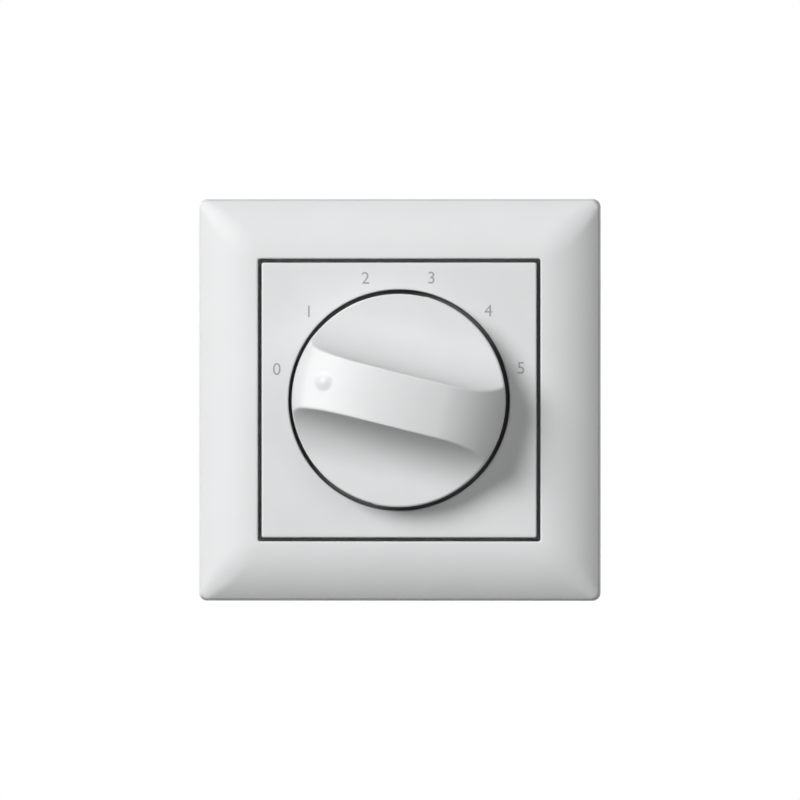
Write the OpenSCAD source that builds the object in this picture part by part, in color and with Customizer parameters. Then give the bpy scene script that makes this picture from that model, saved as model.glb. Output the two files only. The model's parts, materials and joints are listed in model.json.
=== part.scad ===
// Flush wall selector for audio sources: a winged knob turns a two-pole rotary switch.
// The wall is the plane Y = 0, the front faces -Y and +Z is up.
// The origin is on the knob's axis, in the middle of the box screws.

/* [Cover frame] */
// Width and height of the cover frame
frame_w = 81; // [78:0.5:84]
// Height of the frame above the wall at its opening
frame_h = 8.4; // [7.8:0.1:9.4]
// Height of the frame's side wall at the outer edge
frame_edge_h = 4.2; // [3.6:0.1:4.8]
// How far the side wall leans in over its height
frame_draft = 0.5; // [0.2:0.1:0.8]
// Corner radius of the frame seen from the front
frame_corner_r = 2; // [1:0.1:3]
// Wall thickness of the frame
frame_wall = 1.8; // [1.4:0.1:2.2]
// Gap between the frame's opening and the centre plate
frame_gap = 0.8; // [0.5:0.1:1.2]
// Width of the ledge inside the opening that carries the centre plate
ledge_w = 2.6; // [2:0.1:3.2]
// Thickness of that ledge
ledge_t = 1.6; // [1.2:0.1:2]

/* [Centre plate] */
// Width and height of the centre plate
plate_w = 55; // [54:0.1:56]
// Corner radius of the centre plate
plate_corner_r = 0.4; // [0.3:0.1:1.2]
// How far the centre plate stands proud of the frame
plate_proud = 0.3; // [0:0.1:0.8]
// Thickness of the plate's face
plate_t = 2; // [1.6:0.1:2.4]
// Thickness of the plate's side walls and of the wall round the knob
plate_wall = 1.6; // [1.2:0.1:1.8]
// Thickness of the floor under the knob
floor_t = 1.5; // [1.2:0.1:1.8]

/* [Knob] */
// Diameter of the knob
knob_d = 42.6; // [40:0.1:43]
// Gap between the knob and the round opening in the centre plate
knob_gap = 0.8; // [0.6:0.1:1.2]
// Height of the knob's two flats above the centre plate
knob_rise = 5.8; // [5:0.1:8]
// Gap under the knob's rim
knob_under_gap = 0.5; // [0.4:0.1:0.8]
// Wall thickness of the knob
knob_wall = 1.8; // [1.4:0.1:2.2]
// Width of the wing
wing_w = 10.9; // [10.5:0.1:13]
// Height of the wing above the flats, at its crest
wing_h = 11; // [9.5:0.1:12.5]
// Radius of the wing's crest, seen from its side
crest_r = 42; // [40:0.5:50]
// Distance from the axis at which the crest turns into the wing's tail
wing_tail_at = 9.4; // [8:0.1:10]
// Radius of the wing's tail, seen from its side
wing_tail_r = 24; // [20:0.5:32]
// Slope with which the wing's tail starts
wing_tail_slope = 16; // [15.5:0.5:20]
// Radius of the hollow flanks of the wing
flank_r = 10.4; // [8:0.1:11]
// Diameter of the raised pointer mark
mark_d = 3.2; // [2:0.1:3.6]
// Height of the raised pointer mark
mark_h = 0.5; // [0.3:0.05:0.8]
// Distance of the pointer mark from the knob's axis
mark_at = 15.2; // [13:0.1:16.5]
// Outer diameter of the knob's hub
hub_d = 9.8; // [9:0.1:10.2]
// Width of the slots that let the hub spring
hub_slot_w = 1; // [0.6:0.1:1.4]
// Length of those slots
hub_slot_l = 4; // [3:0.1:5]
// Thickness of the ribs under the knob
rib_t = 1.2; // [0.8:0.1:1.6]
// Number of those ribs
ribs = 6; // [4:2:8]
// Thickness of the spring clip on the hub
clip_t = 0.7; // [0.5:0.05:0.9]
// Height of the spring clip on the hub
clip_h = 1.6; // [1.2:0.1:2]
// Distance of the spring clip from the hub's end
clip_at = 0.7; // [0.4:0.1:1]

/* [Support plate] */
// Thickness of the steel support plate
support_t = 1.2; // [1:0.1:1.5]
// Space between the support plate and the frame's side walls
support_clear = 2.2; // [1.6:0.1:2.6]
// Corner radius of the support plate
support_corner_r = 8; // [5:0.5:10]
// Spacing of the screws that hold the plate to a wall box
box_spacing = 60; // [60:0.1:60.4]
// Width of the slots for the box screws
slot_w = 3.8; // [3.4:0.1:4.2]
// Length of the slots for the box screws
slot_l = 8; // [7:0.1:8.4]
// Diameter of the holes in the support plate's corners
corner_hole_d = 4; // [3:0.1:5]
// Spacing of the holes in the support plate's corners
corner_spacing = 54; // [50:0.5:56]
// Head diameter of the box screws that the frame clears
screw_head_d = 7; // [6:0.1:7.4]
// Head height of those screws
screw_head_h = 2.4; // [2:0.1:2.6]

/* [Switch positions] */
// Number of positions of the selector
positions = 6; // [2:1:6]
// Angle between two positions
index_step = 30; // [24:6:30]
// Direction of the pointer at the first position, counted from the right
first_angle = 166; // [150:1:180]

/* [Shaft and bush] */
// Diameter of the shaft
shaft_d = 6; // [5.6:0.1:6.2]
// Height of the shaft over its drive flat
shaft_flat_h = 4.6; // [4.2:0.1:5]
// Gap over the shaft's end in the knob
shaft_end_gap = 0.6; // [0.4:0.1:1]
// Outer diameter of the threaded bush
bush_d = 10; // [9.6:0.1:10.4]
// Length of the bush in front of the round nut
bush_end = 0.6; // [0.4:0.1:1]
// Diameter of the bush's flange inside the case
flange_d = 14; // [13:0.1:14.4]
// Thickness of that flange
flange_t = 1.2; // [0.8:0.1:1.4]
// Running gap between the shaft and the bush, on the radius
run_clear = 0.04; // [0.02:0.01:0.08]
// Gap round parts that are pushed into each other, on the radius
push_clear = 0.05; // [0.03:0.01:0.08]
// Play of the shaft along its axis, at each end
axial_play = 0.3; // [0.25:0.05:0.4]
// Diameter of the shaft's shoulder
shoulder_d = 8.8; // [8:0.1:9.4]
// Thickness of the shaft's shoulder
shoulder_t = 1; // [0.8:0.1:1.4]
// Diameter of the shaft's rear pivot
pivot_d = 3; // [2.6:0.1:3.2]
// Length of the shaft's rear pivot
pivot_l = 1.4; // [1:0.1:1.6]
// Outer diameter of the circlip
circlip_d = 8.4; // [8:0.1:9]
// Thickness of the circlip
circlip_t = 0.6; // [0.5:0.05:0.8]
// Width of the circlip's opening
circlip_gap = 4; // [3.4:0.1:4.4]
// Depth of the circlip's groove
groove_depth = 0.55; // [0.4:0.05:0.7]

/* [Nuts and washers] */
// Width across the flats of the switch nut
nut_af = 14; // [13:0.1:15]
// Thickness of the switch nut
nut_t = 2; // [1.8:0.1:2.4]
// Outer diameter of the lock washer
washer_d = 15.6; // [14:0.1:16.4]
// Thickness of the lock washer
washer_t = 0.5; // [0.4:0.05:0.7]
// Length of the lock washer's teeth
washer_tooth_l = 0.9; // [0.6:0.1:1.2]
// Number of teeth of the lock washer
washer_teeth = 14; // [10:1:18]
// Diameter of the round nut that holds the centre plate
cover_nut_d = 16.8; // [15:0.1:18]
// Thickness of the round nut
cover_nut_t = 2; // [1.6:0.1:2.4]
// Width and depth of the spanner notches in the round nut
cover_nut_notch = 1.6; // [1.2:0.1:2]
// Chamfer on both nuts
nut_chamfer = 0.4; // [0.2:0.05:0.6]

/* [Switch case] */
// Diameter of the switch case
case_d = 30; // [29:0.1:32]
// Thickness of the case's front wall
case_front_t = 3; // [2.8:0.1:3.4]
// Diameter of the chamber in the case
chamber_d = 21.2; // [20.6:0.1:22]
// Diameter of the locating peg on the case
peg_d = 2.8; // [2.2:0.1:3.2]
// Distance of the locating peg from the axis
peg_at = 11.8; // [11:0.1:12.6]
// Thickness of the stop washer
stop_t = 0.6; // [0.5:0.05:0.7]
// Outer diameter of the stop washer
stop_d = 18.4; // [17.8:0.1:18.8]
// Width of the stop washer's tab
stop_tab_w = 1.6; // [1.2:0.1:2]
// Thickness of the stop washer's tab
stop_tab_t = 0.8; // [0.6:0.1:0.9]
// How far the stops reach into the chamber
stop_reach = 0.9; // [0.7:0.05:1]
// Free angle between the lug and a stop at either end
stop_free = 3; // [2:0.5:5]
// Diameter of the screws that close the case
case_screw_d = 2; // [1.6:0.1:2.2]
// Distance of those screws from the axis
case_screw_at = 12.7; // [12.4:0.1:13]
// Length of those screws in the case
case_screw_l = 6; // [4:0.1:7]

/* [Index mechanism] */
// Diameter of the index wheel
wheel_d = 18.4; // [17.8:0.1:18.8]
// Thickness of the index wheel
wheel_t = 3; // [2.6:0.1:3.4]
// Radius of the index notches
notch_r = 1.2; // [1:0.05:1.4]
// Depth of the index notches
notch_depth = 0.9; // [0.7:0.05:1]
// Width of the stop lug on the wheel
lug_w = 2.4; // [2:0.1:3]
// Thickness of the lug along the radius
lug_t = 1.4; // [1:0.1:1.5]
// Thickness of the index spring
spring_t = 0.3; // [0.2:0.05:0.4]
// Length of the index spring
spring_l = 12.4; // [11:0.1:12.8]
// Width of the index spring
spring_w = 2.6; // [2:0.1:2.6]
// Width of the spring's nose at its foot
nose_w = 4; // [3.4:0.1:4.6]
// Width of the spring's nose at its tip
nose_tip_w = 0.8; // [0.6:0.1:1]
// Gap between the spring's nose and the bottom of a notch
nose_gap = 0.1; // [0.05:0.05:0.2]
// Distance of the spring's leaf from the axis
leaf_at = 11; // [10.8:0.1:11.2]
// Depth of the pocket behind the leaf
pocket_depth = 1.3; // [1.1:0.1:1.4]

/* [Contacts] */
// Thickness of the contact rotor
rotor_t = 2; // [1.6:0.1:2.6]
// Diameter of the contact rotor
rotor_d = 17.4; // [17.2:0.1:18.4]
// Thickness of the wipers
wiper_t = 0.3; // [0.2:0.05:0.4]
// Width of the wipers
wiper_w = 2.2; // [1.8:0.1:2.6]
// Height of the wipers' contact points
wiper_tip_h = 0.4; // [0.3:0.05:0.6]
// Diameter of the wipers' contact points
wiper_tip_d = 1.2; // [1:0.1:1.4]
// Diameter of the posts that hold the wipers
wiper_post_d = 0.9; // [0.7:0.1:1.1]
// Gap between the wipers and the fixed contacts
contact_gap = 0.15; // [0.1:0.05:0.3]
// Height of the fixed contacts over the base
contact_h = 0.45; // [0.35:0.05:0.6]
// Diameter of the fixed contacts
contact_d = 2.2; // [1.8:0.1:2.4]
// Diameter of the circle that the fixed contacts lie on
contact_ring_d = 16; // [15.6:0.1:16.2]
// Diameter of the middle of the pole contacts
pole_ring_d = 10.4; // [10:0.1:10.8]
// Width of the pole contacts
pole_w = 1.6; // [1.2:0.1:1.8]
// Gap between the two pole contacts
pole_gap = 1.4; // [1:0.1:2]
// Diameter of the contact pins
pin_d = 1.2; // [1:0.1:1.3]
// How far the contact pins stand out behind the board
pin_out = 1; // [0.6:0.1:1.4]
// Thickness of the contact base
base_t = 2.4; // [2:0.1:3]

/* [Circuit board] */
// Diameter of the circuit board
board_d = 56; // [54:0.5:57]
// Height of the circuit board between its two straight edges
board_h = 46; // [45:0.5:48]
// Thickness of the circuit board
board_t = 1.6; // [1.2:0.1:2]
// Space between the switch and the circuit board
board_gap = 2.5; // [2.2:0.1:4]
// Spacing of the two pillars that carry the circuit board
pillar_spacing = 41; // [40:0.5:43]
// Width across the flats of the pillars
pillar_af = 5; // [4.5:0.1:5.5]
// Diameter of the pillars' rivet ends
rivet_d = 3; // [2.6:0.1:3.2]
// Diameter of the screws in the pillars
board_screw_d = 2.4; // [2:0.1:2.6]
// Length of the screws in the pillars
board_screw_l = 5; // [4:0.1:6]

/* [Terminals] */
// Number of wires on each terminal block
ways = 6; // [2:1:6]
// Distance between two wires
pitch = 5; // [5:0.02:5.08]
// Height of a terminal block over the board
block_h = 10.5; // [10:0.1:12]
// Depth of a terminal block from its wire side to its back
block_depth = 8.2; // [8:0.1:8.6]
// Distance of a terminal block's wire side from the axis
block_at = 21.8; // [21.6:0.1:22.2]
// Thickness of a terminal block's end walls
block_end_t = 0.7; // [0.6:0.1:1]
// Slope cut off the terminal block's wire side
block_slope = 2; // [1:0.1:2.4]
// Height of that slope
block_slope_h = 3; // [2:0.1:4]
// Thickness of a terminal block's floor
block_floor_t = 1.5; // [1:0.1:2]
// Width of a wire entry
entry_w = 3.8; // [3.6:0.1:4]
// Height of a wire entry
entry_h = 4.4; // [4:0.1:4.6]
// Depth of a wire entry
entry_depth = 6.6; // [6.2:0.1:6.8]
// Wall thickness of a wire clamp
clamp_t = 0.5; // [0.4:0.05:0.7]
// Depth of a wire clamp
clamp_depth = 4.6; // [4:0.1:5]
// Diameter of a terminal screw's head
term_head_d = 3.4; // [3:0.1:3.6]
// Height of a terminal screw's head
term_head_h = 1.4; // [1:0.1:1.8]
// Diameter of a terminal screw's thread
term_screw_d = 2.4; // [2:0.1:2.6]
// Width of a solder tail
tail_w = 0.8; // [0.6:0.1:1]
// How far a solder tail stands out of the board's front
tail_out = 1.2; // [0.8:0.1:1.6]

/* [Screw heads] */
// Diameter of a small screw's head over its thread
head_over = 1.8; // [1.4:0.1:2]
// Height of a small screw's head
head_h = 1.2; // [1:0.1:1.5]
// Width of a screw's slot
driver_w = 0.6; // [0.4:0.05:0.8]
// Depth of a screw's slot
driver_depth = 0.6; // [0.4:0.05:0.8]

/* [Hidden] */
$fn = 64;

// How far a cut runs past the face that it opens
over = 1;

// Frame
frame_half = frame_w / 2;
opening_half = plate_w / 2 + frame_gap;
crown_drop = frame_h - frame_edge_h;
crown_run = frame_half - frame_draft - opening_half;
crown_r = (crown_run * crown_run + crown_drop * crown_drop) / (2 * crown_drop);
ledge_z = support_t + ledge_t;
support_w = frame_w - 2 * (frame_draft + frame_wall + support_clear);

// Heights in front of the wall
nut_z = support_t + washer_t;
floor_z = nut_z + nut_t;
well_z = floor_z + floor_t;
plate_z = frame_h + plate_proud;
cover_nut_z = well_z + cover_nut_t;
bush_z = cover_nut_z + bush_end;
circlip_z = bush_z + axial_play;
hub_z = circlip_z + circlip_t + axial_play;
rim_z = well_z + knob_under_gap;
flat_z = plate_z + knob_rise;
crest_z = flat_z + wing_h;
shaft_z = crest_z - knob_wall - shaft_end_gap;

// Depths behind the wall
shoulder_z = -case_front_t - axial_play - shoulder_t;
wheel_z = shoulder_z - wheel_t;
rotor_z = wheel_z - rotor_t;
wiper_z = rotor_z - wiper_t;
tip_z = wiper_z - wiper_tip_h;
contact_z = tip_z - contact_gap;
base_z = contact_z - contact_h;
base_back_z = base_z - base_t;
board_z = base_back_z - board_gap;
board_back_z = board_z - board_t;
pin_z = board_back_z - pin_out;
entry_z = board_back_z - block_floor_t - entry_h;
block_z = board_back_z - block_h;

// Radii and other derived sizes
knob_r = knob_d / 2;
well_r = knob_r + knob_gap;
wing_half = wing_w / 2;
wing_tail_z = crest_z - crest_r + sqrt(crest_r * crest_r - wing_tail_at * wing_tail_at);
wing_tail_middle = [-wing_tail_at, wing_tail_z] + wing_tail_r * [sin(wing_tail_slope), -cos(wing_tail_slope)];
shaft_r = shaft_d / 2;
bush_r = bush_d / 2;
flat_x = shaft_flat_h - shaft_r;
wheel_r = wheel_d / 2;
notches = 360 / index_step;
travel = (positions - 1) * index_step;
nose_r = wheel_r - notch_depth + nose_gap;
lug_at = wheel_r - lug_t / 2;
lug_half_angle = asin(lug_w / 2 / (lug_at - lug_t / 2));
tab_half_angle = asin(stop_tab_w / 2 / (lug_at - lug_t / 2));
stop_angle = lug_half_angle + stop_free + tab_half_angle;
lug_angle = 90;
spring_angle = 0;
case_screw_angle = 60;
peg_angle = 270;
pole_angle = first_angle - travel / 2;
post_at = (contact_ring_d + pole_ring_d) / 4;
clamp_w = entry_w - 2 * push_clear;
clamp_h = entry_h - 2 * push_clear;
way_y = block_at - entry_depth + clamp_depth / 2 + push_clear;

// Local Z points out of the wall, towards the person who turns the knob
module facing_front() {
    rotate([90, 0, 0]) children();
}

module rounded_square(width, radius) {
    inner = width - 2 * radius;
    square([width, inner], center = true);
    square([inner, width], center = true);
    for (x = [-1, 1], y = [-1, 1])
        translate([x * inner / 2, y * inner / 2]) circle(radius);
}

// A square block between two heights
module block(width, low, high) {
    translate([-width / 2, -width / 2, low]) cube([width, width, high - low]);
}

// A cylinder between two heights
module rod(radius, low, high) {
    translate([0, 0, low]) cylinder(r = radius, h = high - low);
}

// A ring between two heights
module ring(inner, outer, low, high) {
    difference() {
        rod(outer, low, high);
        rod(inner, low - over, high + over);
    }
}

module at_angle(angle, distance) {
    rotate(angle) translate([distance, 0, 0]) children();
}

// The cross-section of the shaft where a flat, on the pointer's side, drives what sits on it
module drive_section(clear) {
    rotate(first_angle) intersection() {
        circle(shaft_r + clear);
        translate([flat_x + clear - shaft_d * 2, -shaft_d]) square(shaft_d * 2);
    }
}

module drive_rod(clear, low, high) {
    translate([0, 0, low]) linear_extrude(high - low) drive_section(clear);
}

// Half of the frame's outline seen along one side, moved inwards by a wall thickness
function side_x(height, inset) = frame_half - inset - frame_draft * height / frame_edge_h;

module crown_half(inset) {
    top = 2 * frame_edge_h;
    intersection() {
        polygon([[0, -inset], [side_x(-inset, inset), -inset], [side_x(top, inset), top], [0, top]]);
        union() {
            translate([opening_half, frame_h - crown_r]) circle(crown_r - inset);
            translate([0, -inset]) square([opening_half, frame_h]);
        }
    }
}

module crown_bar(inset) {
    rotate([90, 0, 0])
        linear_extrude(frame_w, center = true) {
            crown_half(inset);
            mirror([1, 0]) crown_half(inset);
        }
}

// The crowned block that all four sides of the frame are cut from
module crown(inset) {
    intersection() {
        crown_bar(inset);
        rotate(90) crown_bar(inset);
        translate([0, 0, -inset])
            linear_extrude(2 * frame_h) rounded_square(frame_w - 2 * inset, frame_corner_r);
    }
}

// Room for the heads of the four box screws, along the whole slot
module screw_head_room() {
    length = slot_l - slot_w + screw_head_d + 2 * frame_gap;
    width = screw_head_d + 2 * frame_gap;
    for (angle = [0:90:270])
        at_angle(angle, box_spacing / 2)
            translate([-length / 2, -width / 2, support_t - over])
                cube([length, width, over + screw_head_h]);
}

module cover_frame() {
    inner_w = 2 * (opening_half + frame_wall);
    color("#e6e8ea") facing_front() difference() {
        crown(0);
        difference() {
            crown(frame_wall);
            block(inner_w, -2 * over, frame_h + over);
        }
        block(inner_w, -over, support_t);
        block(2 * opening_half, ledge_z, frame_h + over);
        block(2 * (opening_half - ledge_w), -over, frame_h + over);
        screw_head_room();
    }
}

module centre_plate() {
    color("#e4e6e8") facing_front() difference() {
        union() {
            difference() {
                translate([0, 0, ledge_z])
                    linear_extrude(plate_z - ledge_z) rounded_square(plate_w, plate_corner_r);
                block(plate_w - 2 * plate_wall, ledge_z - over, plate_z - plate_t);
            }
            rod(well_r + plate_wall, floor_z, plate_z - plate_t / 2);
        }
        rod(well_r, well_z, plate_z + over);
        rod(bush_r + push_clear, floor_z - over, plate_z);
        screw_head_room();
    }
}

// The wing seen from its side: the crest reaches to the pointer's end, and the tail falls more steeply
module arch_side(inset) {
    low = crest_z - crest_r;
    difference() {
        translate([0, low]) circle(crest_r - inset);
        difference() {
            translate([-0.7 * wing_tail_at - 2 * knob_d, low]) square([2 * knob_d, 2 * crest_r]);
            translate(wing_tail_middle) circle(wing_tail_r - inset);
        }
    }
}

// What lies under the arch of the wing, which falls away to the rim at both ends
module arch(inset) {
    rotate([90, 0, 0]) linear_extrude(2 * knob_d, center = true) arch_side(inset);
}

// What lies under the two flats and between the hollow flanks of the wing
module flanks() {
    foot = wing_half + flank_r;
    difference() {
        block(2 * knob_d, rim_z, crest_z + over);
        for (side = [-1, 1]) {
            translate([0, side * foot, flat_z + flank_r])
                rotate([0, 90, 0]) cylinder(r = flank_r, h = 3 * knob_d, center = true);
            translate([-1.5 * knob_d, side * foot - (side < 0 ? knob_d : 0), flat_z])
                cube([3 * knob_d, knob_d, 2 * knob_d]);
            translate([-1.5 * knob_d, side * foot - flank_r, flat_z + flank_r])
                cube([3 * knob_d, 2 * flank_r, 2 * knob_d]);
        }
    }
}

module knob_outside() {
    intersection() {
        rod(knob_r, rim_z, crest_z + over);
        arch(0);
        flanks();
    }
}

module knob_inside() {
    inner_r = knob_r - knob_wall;
    slot = wing_w - 2 * knob_wall;
    rod(inner_r, rim_z - over, flat_z - knob_wall);
    intersection() {
        rod(inner_r, rim_z, crest_z);
        arch(knob_wall);
        translate([-knob_d, -slot / 2, rim_z]) cube([2 * knob_d, slot, 2 * knob_d]);
    }
}

// The hub, sprung by its slots, and the ribs under the flats
module knob_core() {
    rib_r = knob_r - knob_wall / 2;
    rib_start = hub_d / 2 + push_clear + clip_t + axial_play;
    rib_low = cover_nut_z + 2 * axial_play;
    rod(hub_d / 2, hub_z, crest_z - knob_wall / 2);
    for (i = [0:ribs - 1])
        rotate((i + 1 / 2) * 360 / ribs) translate([rib_start, -rib_t / 2, rib_low])
            cube([rib_r - rib_start, rib_t, flat_z - knob_wall / 2 - rib_low]);
}

// A low dome that stands square on the arch
module pointer_mark() {
    ball_r = (mark_d * mark_d / 4 + mark_h * mark_h) / (2 * mark_h);
    slope = asin(mark_at / crest_r);
    translate([0, 0, crest_z - crest_r]) rotate([0, slope, 0])
        translate([0, 0, crest_r + mark_h - ball_r]) sphere(ball_r);
}

module selector_knob() {
    color("#e8eaec") facing_front() difference() {
        rotate(first_angle) difference() {
            union() {
                difference() {
                    union() {
                        knob_outside();
                        pointer_mark();
                    }
                    knob_inside();
                }
                knob_core();
            }
            translate([-hub_slot_w / 2, -hub_d, hub_z - over])
                cube([hub_slot_w, 2 * hub_d, over + hub_slot_l]);
        }
        drive_rod(push_clear, hub_z - over, shaft_z + shaft_end_gap / 2);
    }
}

module knob_clip() {
    inner = hub_d / 2 + push_clear;
    low = hub_z + clip_at;
    color("silver") facing_front() rotate(first_angle) difference() {
        ring(inner, inner + clip_t, low, low + clip_h);
        translate([0, -hub_slot_w, low - over]) cube([hub_d, 2 * hub_slot_w, clip_h + 2 * over]);
    }
}

// A turned blank with both edges chamfered, which the nuts are cut from
module nut_blank(radius, low, high) {
    translate([0, 0, low]) rotate_extrude() {
        depth = high - low;
        polygon([
            [bush_r + push_clear, 0], [radius - nut_chamfer, 0], [radius, nut_chamfer],
            [radius, depth - nut_chamfer], [radius - nut_chamfer, depth], [bush_r + push_clear, depth]
        ]);
    }
}

module cover_nut() {
    color("silver") facing_front() difference() {
        nut_blank(cover_nut_d / 2, well_z, cover_nut_z);
        for (angle = [0:90:270])
            at_angle(angle, cover_nut_d / 2 - cover_nut_notch)
                translate([0, -cover_nut_notch / 2, cover_nut_z - cover_nut_t / 2])
                    cube([cover_nut_d, cover_nut_notch, cover_nut_t]);
    }
}

module switch_nut() {
    color("silver") facing_front() intersection() {
        nut_blank(nut_af / 2 / cos(30), nut_z, floor_z);
        translate([0, 0, nut_z]) cylinder(r = nut_af / 2 / cos(30), h = nut_t, $fn = 6);
    }
}

module lock_washer() {
    root_r = washer_d / 2 - washer_tooth_l;
    tooth_gap = PI * root_r / washer_teeth;
    color("silver") facing_front() difference() {
        ring(bush_r + 3 * push_clear, washer_d / 2, support_t, nut_z);
        for (i = [0:washer_teeth - 1])
            at_angle(i * 360 / washer_teeth, root_r)
                translate([0, -tooth_gap / 2, 0]) cube([washer_d, tooth_gap, 2 * nut_z]);
    }
}

module slot_outline() {
    straight = slot_l - slot_w;
    square([straight, slot_w], center = true);
    for (end = [-1, 1])
        translate([end * straight / 2, 0]) circle(slot_w / 2);
}

module support_plate() {
    color("#b9bec4") facing_front() linear_extrude(support_t) difference() {
        rounded_square(support_w, support_corner_r);
        circle(bush_r + push_clear);
        at_angle(peg_angle, peg_at) circle(peg_d / 2 + push_clear);
        for (angle = [0:90:270]) {
            at_angle(angle, box_spacing / 2) slot_outline();
            at_angle(angle + 45, corner_spacing / sqrt(2)) circle(corner_hole_d / 2);
        }
        for (side = [-1, 1])
            translate([side * pillar_spacing / 2, 0]) circle(rivet_d / 2 + push_clear);
    }
}

// A radial block that stops the index wheel's lug, or the lug itself
module stop_block(angle, width, depth, low, high) {
    at_angle(angle, lug_at)
        translate([-depth / 2, -width / 2, low]) cube([depth, width, high - low]);
}

// The pocket that backs the index spring's ends and leaves room behind its nose
module spring_pocket() {
    length = spring_l + 2 * push_clear;
    depth = shoulder_z - base_z + over;
    rotate(spring_angle) {
        translate([0, -length / 2, base_z - over])
            cube([leaf_at + spring_t + push_clear, length, depth]);
        translate([0, -nose_w, base_z - over])
            cube([leaf_at + pocket_depth, 2 * nose_w, depth]);
    }
}

module case_screw_holes(radius, low, high) {
    for (turn = [0, 180])
        at_angle(case_screw_angle + turn, case_screw_at) rod(radius, low, high);
}

module switch_case() {
    seat_z = -stop_t - push_clear;
    tab_angle = lug_angle - travel - stop_angle;
    color("#2b2d30") facing_front() {
        difference() {
            rod(case_d / 2, base_z, 0);
            rod(chamber_d / 2, base_z - over, -case_front_t);
            rod(bush_r + push_clear, base_z, over);
            rod(flange_d / 2 + push_clear, base_z, -case_front_t + flange_t + push_clear);
            rod(stop_d / 2 + push_clear, seat_z, over);
            stop_block(tab_angle, stop_tab_w + 2 * push_clear, stop_tab_t + 2 * push_clear, base_z, over);
            spring_pocket();
            case_screw_holes(case_screw_d / 2 + push_clear, base_z - over, base_z + case_screw_l + over);
        }
        intersection() {
            stop_block(lug_angle + stop_angle, stop_tab_w, lug_t, -case_front_t - stop_reach, -case_front_t);
            rod(chamber_d / 2, base_z, 0);
        }
        at_angle(peg_angle, peg_at) rod(peg_d / 2, 0, support_t);
    }
}

module switch_bush() {
    bore = shaft_r + run_clear;
    color("#c9a54e") facing_front() rotate_extrude() polygon([
        [bore, -case_front_t], [flange_d / 2, -case_front_t], [flange_d / 2, -case_front_t + flange_t],
        [bush_r, -case_front_t + flange_t], [bush_r, bush_z - nut_chamfer], [bush_r - nut_chamfer, bush_z],
        [bore, bush_z]
    ]);
}

module stop_washer() {
    tab_angle = lug_angle - travel - stop_angle;
    low = -stop_t - push_clear;
    color("silver") facing_front() {
        ring(bush_r + 2 * push_clear, stop_d / 2, low, -push_clear);
        stop_block(tab_angle, stop_tab_w, stop_tab_t, -case_front_t - stop_reach, low);
    }
}

// What is milled off the shaft for its drive flat
module shaft_flat(low, high) {
    rotate(first_angle) translate([flat_x, -shaft_d, low]) cube([shaft_d, 2 * shaft_d, high - low]);
}

module switch_shaft() {
    groove_r = shaft_r - groove_depth;
    groove_end = circlip_z + circlip_t;
    color("#c5c8cc") facing_front() difference() {
        rotate_extrude() polygon([
            [0, base_z - pivot_l], [pivot_d / 2, base_z - pivot_l], [pivot_d / 2, rotor_z],
            [shaft_r, rotor_z], [shaft_r, shoulder_z], [shoulder_d / 2, shoulder_z],
            [shoulder_d / 2, shoulder_z + shoulder_t], [shaft_r, shoulder_z + shoulder_t],
            [shaft_r, circlip_z], [groove_r, circlip_z], [groove_r, groove_end],
            [shaft_r, groove_end], [shaft_r, shaft_z], [0, shaft_z]
        ]);
        shaft_flat(hub_z - axial_play / 2, shaft_z + over);
        shaft_flat(rotor_z - over, shoulder_z);
    }
}

module shaft_circlip() {
    inner = shaft_r - groove_depth + push_clear;
    low = circlip_z + push_clear;
    high = circlip_z + circlip_t - push_clear;
    color("#8d9298") facing_front() rotate(first_angle) difference() {
        ring(inner, circlip_d / 2, low, high);
        translate([0, -circlip_gap / 2, low - over])
            cube([circlip_d, circlip_gap, circlip_t + 2 * over]);
    }
}

module index_wheel() {
    color("#d8d2bd") facing_front() {
        difference() {
            rod(wheel_r, wheel_z, shoulder_z);
            drive_rod(push_clear, wheel_z - over, shoulder_z + over);
            for (i = [0:notches - 1])
                at_angle(spring_angle + i * index_step, wheel_r + notch_r - notch_depth)
                    rod(notch_r, wheel_z - over, shoulder_z + over);
        }
        intersection() {
            stop_block(lug_angle, lug_w, lug_t, shoulder_z, shoulder_z + shoulder_t);
            rod(wheel_r, wheel_z, shoulder_z + shoulder_t);
        }
    }
}

// A leaf that lies across the pocket, with a nose folded towards the wheel
module index_spring() {
    half = spring_l / 2;
    foot = nose_w / 2;
    tip = nose_tip_w / 2;
    color("silver") facing_front() rotate(spring_angle)
        translate([0, 0, wheel_z + (wheel_t - spring_w) / 2])
            linear_extrude(spring_w) polygon([
                [leaf_at + spring_t, -half], [leaf_at + spring_t, -foot], [nose_r + spring_t, -tip],
                [nose_r + spring_t, tip], [leaf_at + spring_t, foot], [leaf_at + spring_t, half],
                [leaf_at, half], [leaf_at, foot + spring_t / 2], [nose_r, tip + spring_t / 2],
                [nose_r, -tip - spring_t / 2], [leaf_at, -foot - spring_t / 2], [leaf_at, -half]
            ]);
}

module contact_rotor() {
    color("#3a3f45") facing_front() {
        difference() {
            rod(rotor_d / 2, rotor_z, wheel_z);
            drive_rod(push_clear, rotor_z - over, wheel_z + over);
        }
        for (turn = [0, 180])
            at_angle(first_angle + turn, post_at)
                rod(wiper_post_d / 2, wiper_z, rotor_z + rotor_t / 2);
    }
}

module wiper_contacts() {
    start = (pole_ring_d - wiper_w) / 2;
    color("#d0a96a") facing_front() for (turn = [0, 180]) rotate(first_angle + turn) difference() {
        union() {
            translate([start, -wiper_w / 2, wiper_z])
                cube([(rotor_d - push_clear) / 2 - start, wiper_w, wiper_t]);
            for (distance = [contact_ring_d / 2, pole_ring_d / 2])
                translate([distance, 0, 0]) rod(wiper_tip_d / 2, tip_z, wiper_z);
        }
        translate([post_at, 0, 0])
            rod(wiper_post_d / 2 + push_clear, wiper_z - over, rotor_z + over);
    }
}

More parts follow.
